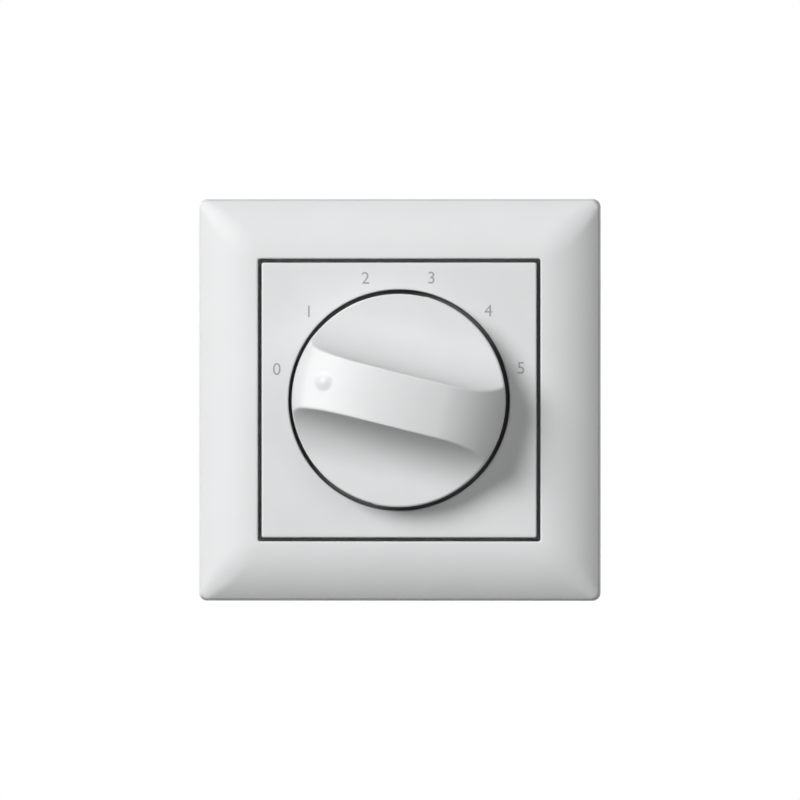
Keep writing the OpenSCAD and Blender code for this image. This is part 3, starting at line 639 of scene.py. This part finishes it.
def arch_out(along):
    """How far out the wing's top lies: a crest that reaches to the pointer's end, and a steeper tail."""
    crest = crest_middle + np.sqrt(CREST_RADIUS**2 - along**2)
    tail = tail_middle + np.sqrt(TAIL_RADIUS**2 - np.minimum(along + tail_along, 0) ** 2)
    return np.where(along < -TAIL_AT, tail, crest)


def arch_distance(along, out):
    """Signed distance to the wing's top, seen from its side."""
    crest = np.hypot(along, out - crest_middle) - CREST_RADIUS
    tail = np.hypot(along + tail_along, out - tail_middle) - TAIL_RADIUS
    return np.where(along < -TAIL_ZONE, np.maximum(crest, tail), crest)


def wing_edge(along):
    """Half the wing's width, which grows where the arch runs down the hollow flanks."""
    fall = np.clip(1 - (arch_out(along) - knob_flat) / FLANK_RADIUS, 0, 1)
    return flank_foot - FLANK_RADIUS * np.sqrt(1 - fall**2)


def rim_crossing(share, end, rounds=60):
    """Where a line at a share of the wing's half width meets the rim, at the pointer (1) or tail (-1)."""
    low = 0.0
    high = knob_radius
    for _ in range(rounds):
        middle = (low + high) / 2
        if middle**2 + (share * wing_edge(end * middle)) ** 2 < knob_radius**2:
            low = middle
        else:
            high = middle
    return end * low


def lengthways_places(share, shares_along):
    """Places from the tail's rim to the pointer's, on a line at a share of the wing's half width."""
    tail = rim_crossing(share, -1)
    pointer = rim_crossing(share, 1)
    return [along * (pointer if along > 0 else -tail) for along in shares_along]


def rounded_cut(first, second, radius):
    """Signed distance to what two shapes have in common, with a rounded edge between them."""
    corner = np.hypot(np.maximum(radius + first, 0), np.maximum(radius + second, 0))
    return np.minimum(-radius, np.maximum(first, second)) + corner


def knob_distance(points):
    """Signed distance of points (along the wing, across it, out) to the knob's outside."""
    along, across, out = points.T
    side = np.abs(across)
    arch = arch_distance(along, out)
    hollow = FLANK_RADIUS - np.hypot(side - flank_foot, out - flank_middle)
    low_flank = np.where(side >= flank_foot, out - knob_flat, hollow)
    flank = np.where(out >= flank_middle, side - WING_HALF, low_flank)
    rim = np.hypot(along, across) - knob_radius
    mark = np.linalg.norm(points - ball_middle, axis=1) - ball_radius
    arch = np.where(along > 0, rounded_cut(arch, rim, NOSE_EDGE), arch)
    body = rounded_cut(rounded_cut(arch, flank, WING_EDGE), rim, RIM_EDGE)
    return -rounded_cut(-body, -mark, MARK_EDGE)


def settle(points, rounds=8, step=1e-3, least=1e-6):
    """Moves points onto the knob's rounded outside."""
    for _ in range(rounds):
        distance = knob_distance(points)
        slope = np.zeros_like(points)
        for axis in range(3):
            shift = np.zeros(3)
            shift[axis] = step
            slope[:, axis] = (knob_distance(points + shift) - knob_distance(points - shift)) / (2 * step)
        points = points - slope * (distance / np.maximum((slope**2).sum(1), least))[:, None]
    return points


def spread(length, fewest, spot=None, spot_half=1.9, spot_step=0.1):
    """Places from 0 to length that crowd at both ends, and round a spot that needs a fine mesh."""
    inner = np.linspace(NEAR_EDGE[-1], length - NEAR_EDGE[-1], fewest)[1:-1]
    places = np.concatenate([NEAR_EDGE, inner, length - np.array(NEAR_EDGE)])
    if spot is not None:
        places = places[np.abs(places - spot) > spot_half + spot_step / 2]
        places = np.concatenate([places, np.arange(spot - spot_half, spot + spot_half, spot_step)])
    return np.sort(places)


def flank_turn(across):
    """How far round the hollow flank a distance across the wing lies, from its upright start."""
    return math.acos(np.clip((flank_foot - across) / FLANK_RADIUS, -1, 1))


def flank_column(along, shares):
    """Points from the wing's edge down the hollow flank to the rim, at one place along the wing."""
    edge = wing_edge(along)
    rim = math.sqrt(max(0.0, knob_radius**2 - along**2))
    start = flank_turn(edge)
    end = flank_turn(rim) if rim < flank_foot else math.pi / 2
    hollow = FLANK_RADIUS * max(0.0, end - start)
    flat = max(0.0, rim - flank_foot)
    column = []
    for share in shares:
        run = share * (hollow + flat)
        turn = start + min(run, hollow) / FLANK_RADIUS
        across = flank_foot - FLANK_RADIUS * math.cos(turn) + max(0.0, run - hollow)
        column.append((along, across, flank_middle - FLANK_RADIUS * math.sin(turn)))
    column[0] = (along, edge, arch_out(along))
    return column


def grid_faces(rows, columns, start):
    """Faces between the points of a grid, given where it starts in the list of points."""
    faces = []
    for i in range(rows - 1):
        for j in range(columns - 1):
            here = start + i * columns + j
            faces.append((here, here + 1, here + columns + 1, here + columns))
    return faces


def knob_top():
    """The knob's top as three patches that share the wing's two edges."""
    lengthways = spread(2 * knob_radius, LENGTHWAYS_ROWS, knob_radius + MARK_AT) / knob_radius - 1
    crossways = spread(2 * WING_HALF, CROSSWAYS_ROWS, WING_HALF) / WING_HALF - 1
    shares = spread(knob_radius, FLANK_ROWS) / knob_radius
    points = []
    for share in crossways:
        for along in lengthways_places(abs(share), lengthways):
            points.append((along, share * wing_edge(along), arch_out(along)))
    faces = grid_faces(len(crossways), len(lengthways), 0)
    for side in (-1, 1):
        start = len(points)
        for edge_along in lengthways_places(1.0, lengthways):
            column = flank_column(edge_along, shares)
            points += [(along, side * across, out) for along, across, out in column]
        faces += grid_faces(len(lengthways), len(shares), start)
    return points, faces


def wall_ring(work, above, points):
    """A ring of faces from a loop of vertices down to new ones at the points, which are returned."""
    below = [work.verts.new(point) for point in points]
    for i in range(len(above)):
        after = (i + 1) % len(above)
        work.faces.new((above[i], above[after], below[after], below[i]))
    return below


def knob_mesh(name):
    """The knob's outside as a closed solid, in its own axes and millimetres."""
    points, faces = knob_top()
    work = bmesh.new()
    corners = [work.verts.new(point) for point in points]
    for face in faces:
        work.faces.new([corners[i] for i in face])
    bmesh.ops.remove_doubles(work, verts=work.verts, dist=JOIN_DISTANCE)
    bmesh.ops.dissolve_degenerate(work, edges=work.edges, dist=JOIN_DISTANCE)
    above = [vert for vert in work.verts if vert.is_boundary]
    above.sort(key=lambda vert: math.atan2(vert.co.y, vert.co.x))
    rim = [tuple(vert.co) for vert in above]
    for down in NEAR_EDGE[1:] + DOWN_RIM:
        above = wall_ring(work, above, [(along, across, out - down) for along, across, out in rim])
    above = wall_ring(work, above, [(along, across, knob_back + BACK_EDGE) for along, across, _ in rim])
    inwards = 1 - BACK_EDGE / knob_radius
    back = [(along * inwards, across * inwards, knob_back) for along, across, _ in rim]
    work.faces.new(wall_ring(work, above, back))
    bmesh.ops.recalc_face_normals(work, faces=work.faces)
    shape = np.array([vert.co[:] for vert in work.verts])
    outside = shape[:, 2] > knob_back + PLAIN_BACK
    shape[outside] = settle(shape[outside])
    for vert, point in zip(work.verts, shape):
        vert.co = point
    mesh = bpy.data.meshes.new(name)
    work.to_mesh(mesh)
    work.free()
    return mesh


def bridged(first, last):
    """A closed mesh between two outlines that have as many points."""
    count = len(first)
    ends = [tuple(range(count)), tuple(range(count, 2 * count))]
    return closed_mesh("tool", [*first, *last], band_faces(0, count, count) + ends)


def prism(outline, low, high):
    """A closed mesh over an outline (along the wing, across it) between two heights."""
    return bridged(*[[(along, across, out) for along, across in outline] for out in (low, high)])


def circle(radius, steps=96):
    """The outline of a circle round the axis."""
    turns = [math.tau * i / steps for i in range(steps)]
    return [(radius * math.cos(turn), radius * math.sin(turn)) for turn in turns]


def bar(start, end, width, angle=0.0):
    """The outline of a bar that starts and ends at distances from the axis, turned by an angle."""
    corners = [(start, -width / 2), (end, -width / 2), (end, width / 2), (start, width / 2)]
    return [turned(angle, along, across) for along, across in corners]


def wing_hollow():
    """The room inside the wing: its arch, moved in by the wall, across the width between the flanks."""
    inner = knob_radius - KNOB_WALL
    half = WING_HALF - KNOB_WALL
    end = math.sqrt(inner**2 - half**2)
    tops = [(along, arch_out(along) - KNOB_WALL) for along in np.linspace(-end, end, HOLLOW_ROWS)]
    outline = [(-end, knob_back - OVERCUT), *tops, (end, knob_back - OVERCUT)]
    return bridged(*[[(along, across, out) for along, out in outline] for across in (-half, half)])


def carved(mesh, steps):
    """The mesh after tools are cut from it or joined to it, each step an operation and the tool's mesh."""
    carving = add_object("carving", mesh)
    helpers = [carving]
    for operation, tool_mesh in steps:
        tool = add_object("tool", tool_mesh)
        helpers.append(tool)
        carve = carving.modifiers.new("carve", "BOOLEAN")
        carve.operation = operation
        carve.object = tool
        carve.solver = "EXACT"
    evaluated = carving.evaluated_get(bpy.context.evaluated_depsgraph_get())
    shape = bpy.data.meshes.new_from_object(evaluated)
    for helper in helpers:
        bpy.data.objects.remove(helper)
    return shape


def hollow_knob(name):
    """The knob with its hollow, ribs, slotted hub and flatted bore, turned to its first position."""
    under = knob_flat - KNOB_WALL
    hub_front = knob_crest - KNOB_WALL / 2
    rib_end = knob_radius - KNOB_WALL / 2
    steps = [
        ("DIFFERENCE", prism(circle(knob_radius - KNOB_WALL), knob_back - OVERCUT, under)),
        ("DIFFERENCE", wing_hollow()),
        ("UNION", prism(circle(HUB_RADIUS), HUB_BACK, hub_front)),
    ]
    for i in range(RIBS):
        rib = bar(RIB_START, rib_end, RIB_WIDTH, math.tau * (i + 0.5) / RIBS)
        steps.append(("UNION", prism(rib, RIB_BACK, under + KNOB_WALL / 2)))
    slot = bar(-HUB_SLOT / 2, HUB_SLOT / 2, HUB_SLOT_LENGTH)
    steps.append(("DIFFERENCE", prism(slot, HUB_BACK - OVERCUT, HUB_BACK + HUB_SLOT_DEPTH)))
    bore = [(min(along, BORE_FLAT), across) for along, across in circle(BORE_RADIUS, BORE_STEPS)]
    steps.append(("DIFFERENCE", prism(bore, HUB_BACK - OVERCUT, bore_front)))
    mesh = carved(knob_mesh(name), steps)
    mesh.name = name
    for vert in mesh.vertices:
        along, across, out = vert.co
        vert.co = place(*turned(math.radians(FIRST_POSITION), along, across), out)
    return mesh


add_piece("knob_shell", hollow_knob("knob_shell"), "rotor", "knob_white", "selector_knob", sharp=50)

# Numbers printed on the centre plate, one for each position and a little further apart than these
NUMBER_HEIGHT = 2.5
NUMBER_RADIUS = 25.2
NUMBER_STEP = 30.3
CAP_SHARE = 0.73
CURVE_STEPS = 12
INK = (0.33, 0.34, 0.35)
INK_UNEVEN = 0.06
INK_GRAIN = 0.2
INK_ROUGHNESS = 0.5
INK_THICKNESS = 0.02


def printed_ink(name):
    """Printing ink with faint speckles."""
    material, tree, shader = new_material(name)
    speckles = noise(tree, object_coordinates(tree), INK_GRAIN)
    shade = ramp(tree, speckles, tint(INK, -INK_UNEVEN), tint(INK, INK_UNEVEN))
    tree.links.new(shade, shader.inputs["Base Color"])
    shader.inputs["Roughness"].default_value = INK_ROUGHNESS
    return material


ink = printed_ink("printed_grey")
for number in range(POSITIONS):
    text = bpy.data.curves.new(f"number_{number}", "FONT")
    text.body = str(number)
    text.align_x = "CENTER"
    text.align_y = "CENTER"
    text.size = NUMBER_HEIGHT / CAP_SHARE * MM
    text.extrude = INK_THICKNESS / 2 * MM
    text.resolution_u = CURVE_STEPS
    text.materials.append(ink)
    written = add_object(f"number_{number}", text)
    spot = at_angle(FIRST_POSITION - number * NUMBER_STEP, NUMBER_RADIUS)
    written.location = place(*spot, plate_front + INK_THICKNESS / 2)
    written.rotation_euler = (math.radians(90), 0, 0)
    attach(written, "housing")

# Circuit board: a solder joint on each switch pin and wire tail, and tracks from the pins to the terminals
PIN_CIRCLE = 8.0
POLE_CIRCLE = 5.2
WAYS = 6
WAY_PITCH = 5.0
WAY_UP = 17.55
BLOCK_EDGE = 13.55
TRACK_WIDTH = 0.9
TRACK_THICKNESS = 0.05
TRACK_TURN = 9.5
TRACK_FAN = 12.9
TRACK_TINT = 0.6
MITRE_LIMIT = 0.5

# A solder joint's profile (radius, rise), and how its size and height change from one joint to the next
SOLDER_PROFILE = [
    (1.05, 0.0),
    (0.92, 0.06),
    (0.8, 0.18),
    (0.71, 0.36),
    (0.65, 0.58),
    (0.62, 0.8),
    (0.5, 0.86),
    (0.5, 0.0),
]
SOLDER_STEPS = 24
SIZE_CHANGE = 0.06
SIZE_TURN = 2.4
HEIGHT_CHANGE = 0.1
HEIGHT_TURN = 1.7


def opposite(point):
    """The same place on the other half of the board."""
    return (-point[0], -point[1])


def solder_joints(name, spots, surface, outwards):
    """Hollow-sided cones of solder round the spots, each a little different."""
    rings = len(SOLDER_PROFILE)
    turns = [math.tau * j / SOLDER_STEPS for j in range(SOLDER_STEPS)]
    points = []
    faces = []
    for k, (right, up) in enumerate(spots):
        start = len(points)
        size = 1 + SIZE_CHANGE * math.sin(SIZE_TURN * k)
        height = 1 + HEIGHT_CHANGE * math.cos(HEIGHT_TURN * k)
        for radius, rise in SOLDER_PROFILE:
            for turn in turns:
                spot = (right + size * radius * math.cos(turn), up + size * radius * math.sin(turn))
                points.append(place(*spot, surface + outwards * height * rise))
        for i in range(rings):
            below = (i + 1) % rings
            faces += band_faces(start + i * SOLDER_STEPS, start + below * SOLDER_STEPS, SOLDER_STEPS)
    add_piece(name, closed_mesh(name, points, faces), "housing", "contact_silver", sharp=50)


def strip(path, width):
    """The outline of a strip of even width along a path."""
    left = []
    right = []
    for i, point in enumerate(path):
        before = Vector(path[max(i - 1, 0)])
        after = Vector(path[min(i + 1, len(path) - 1)])
        here = Vector(point)
        directions = [step.normalized() for step in (here - before, after - here) if step.length > 0]
        along = sum(directions, Vector((0, 0))).normalized()
        reach_out = width / 2 / max(MITRE_LIMIT, along.dot(directions[0]))
        aside = Vector((-along.y, along.x)) * reach_out
        left.append(here + aside)
        right.append(here - aside)
    return left + right[::-1]


def board_tracks(name, paths):
    """Raised tracks under the solder mask on the back of the board."""
    points = []
    faces = []
    for path in paths:
        outline = strip(path, TRACK_WIDTH)
        count = len(outline)
        start = len(points)
        for out in (board_back + TRACK_THICKNESS, board_back - TRACK_THICKNESS):
            points += [place(spot.x, spot.y, out) for spot in outline]
        faces += band_faces(start, start + count, count)
        for level in (start, start + count):
            last = level + count - 1
            faces += [(level + i, level + i + 1, last - i - 1, last - i) for i in range(count // 2 - 1)]
    mesh = closed_mesh(name, points, faces)
    add_piece(name, mesh, "housing", "board_green")
    mesh.materials[0] = solder_mask("track_green", tint(colours["board_green"], TRACK_TINT))


contact_pins = [at_angle(FIRST_POSITION - POSITION_STEP * i, PIN_CIRCLE) for i in range(POSITIONS)]
pole_pin = at_angle(FIRST_POSITION - POSITION_STEP * (POSITIONS - 1) / 2, POLE_CIRCLE)
half_pins = [*contact_pins, pole_pin]
tails = [((i - (WAYS - 1) / 2) * WAY_PITCH, WAY_UP) for i in range(WAYS)]
solder_joints("pin_solder", half_pins + [opposite(pin) for pin in half_pins], board_back, -1)
solder_joints("tail_solder", tails + [opposite(tail) for tail in tails], board_front, 1)
wired_pins = sorted([*contact_pins[1:], pole_pin])
upper_tracks = [
    [pin, (pin[0], TRACK_TURN), (tail[0], TRACK_FAN), (tail[0], BLOCK_EDGE)]
    for pin, tail in zip(wired_pins, tails)
]
board_tracks("board_tracks", upper_tracks + [[opposite(point) for point in path] for path in upper_tracks])

# Studio, with lengths in metres: a floor below the object that looks pale and a white background, which
# both light the object only weakly
FLOOR_DROP = 0.6
FLOOR_HALF = 4.0
FLOOR_GREY = 0.14
FLOOR_ROUGHNESS = 0.9
FLOOR_LIFT = 0.8
BACKGROUND = 1.0
AMBIENT = 0.12
LAMP_DISTANCE = 2.4


def seen_or_not(tree, if_seen, if_not):
    """One strength for what is seen, also in gloss and glass, and another for what only lights."""
    ray = tree.nodes.new("ShaderNodeLightPath")
    seen = ray.outputs["Is Camera Ray"]
    for kind in ("Is Glossy Ray", "Is Transmission Ray"):
        seen = math_node(tree, "MAXIMUM", seen, ray.outputs[kind])
    strength = tree.nodes.new("ShaderNodeMapRange")
    strength.inputs["To Min"].default_value = if_not
    strength.inputs["To Max"].default_value = if_seen
    tree.links.new(seen, strength.inputs["Value"])
    return strength.outputs["Result"]


corner_signs = [(-1, -1), (1, -1), (1, 1), (-1, 1)]
floor_corners = [(right * FLOOR_HALF, back * FLOOR_HALF, -FLOOR_DROP) for right, back in corner_signs]
floor_mesh = bpy.data.meshes.new("floor")
floor_mesh.from_pydata(floor_corners, [], [(0, 1, 2, 3)])
floor = add_object("floor", floor_mesh)
floor_material, floor_tree, floor_shader = new_material("floor")
floor_shader.inputs["Base Color"].default_value = (FLOOR_GREY, FLOOR_GREY, FLOOR_GREY, 1)
floor_shader.inputs["Roughness"].default_value = FLOOR_ROUGHNESS
floor_shader.inputs["Emission Color"].default_value = (1, 1, 1, 1)
floor_tree.links.new(seen_or_not(floor_tree, FLOOR_LIFT, 0.0), floor_shader.inputs["Emission Strength"])
floor_mesh.materials.append(floor_material)

world = bpy.data.worlds.new("studio")
bpy.context.scene.world = world
world.use_nodes = True
background = world.node_tree.nodes["Background"]
background.inputs["Color"].default_value = (1, 1, 1, 1)
backdrop_strength = seen_or_not(world.node_tree, BACKGROUND, AMBIENT)
world.node_tree.links.new(backdrop_strength, background.inputs["Strength"])


def add_lamp(name, side, lean, width, power, glossy=True):
    """A round soft lamp aimed at the middle, which may be left out of reflections.

    Its direction is turned by side from the right, anticlockwise, and leans away from the viewer.
    """
    lamp = bpy.data.lights.new(name, "AREA")
    lamp.shape = "DISK"
    lamp.size = width
    lamp.energy = power
    holder = add_object(name, lamp)
    away = math.radians(lean)
    right, up = at_angle(side, math.sin(away))
    direction = Vector(place(right, up, math.cos(away))).normalized()
    holder.location = direction * LAMP_DISTANCE
    holder.rotation_mode = "QUATERNION"
    holder.rotation_quaternion = direction.to_track_quat("Z", "Y")
    holder.visible_glossy = glossy


# The strongest lamp is at the upper left, a weak one at the upper right and one behind for the back
add_lamp("key", side=148, lean=46, width=1.4, power=57.5)
add_lamp("fill", side=30, lean=38, width=1.6, power=10.6)
add_lamp("rear", side=150, lean=150, width=1.8, power=42, glossy=False)

# Camera: nearly square on, a little from the right and from above, with a long lens. Its distance is in
# metres; the width that it sees and the point that it aims at are in millimetres like the object
CAMERA_DISTANCE = 1.1
CAMERA_SIDE = math.radians(0.9)
CAMERA_RISE = math.radians(0.25)
SENSOR_WIDTH = 36
VIEW_WIDTH = 160.7
AIM = (0.12, 0.0, 4.0)

camera_data = bpy.data.cameras.new("camera")
camera = add_object("camera", camera_data)
bpy.context.scene.camera = camera
camera_data.sensor_width = SENSOR_WIDTH
camera_data.lens = SENSOR_WIDTH * CAMERA_DISTANCE / (VIEW_WIDTH * MM)
backwards = Vector((
    math.sin(CAMERA_SIDE) * math.cos(CAMERA_RISE),
    -math.cos(CAMERA_SIDE) * math.cos(CAMERA_RISE),
    math.sin(CAMERA_RISE),
))
camera.location = Vector(place(*AIM)) + backwards * CAMERA_DISTANCE
camera.rotation_mode = "QUATERNION"
camera.rotation_quaternion = (-backwards).to_track_quat("-Z", "Y")

bpy.context.scene.view_settings.view_transform = "Standard"
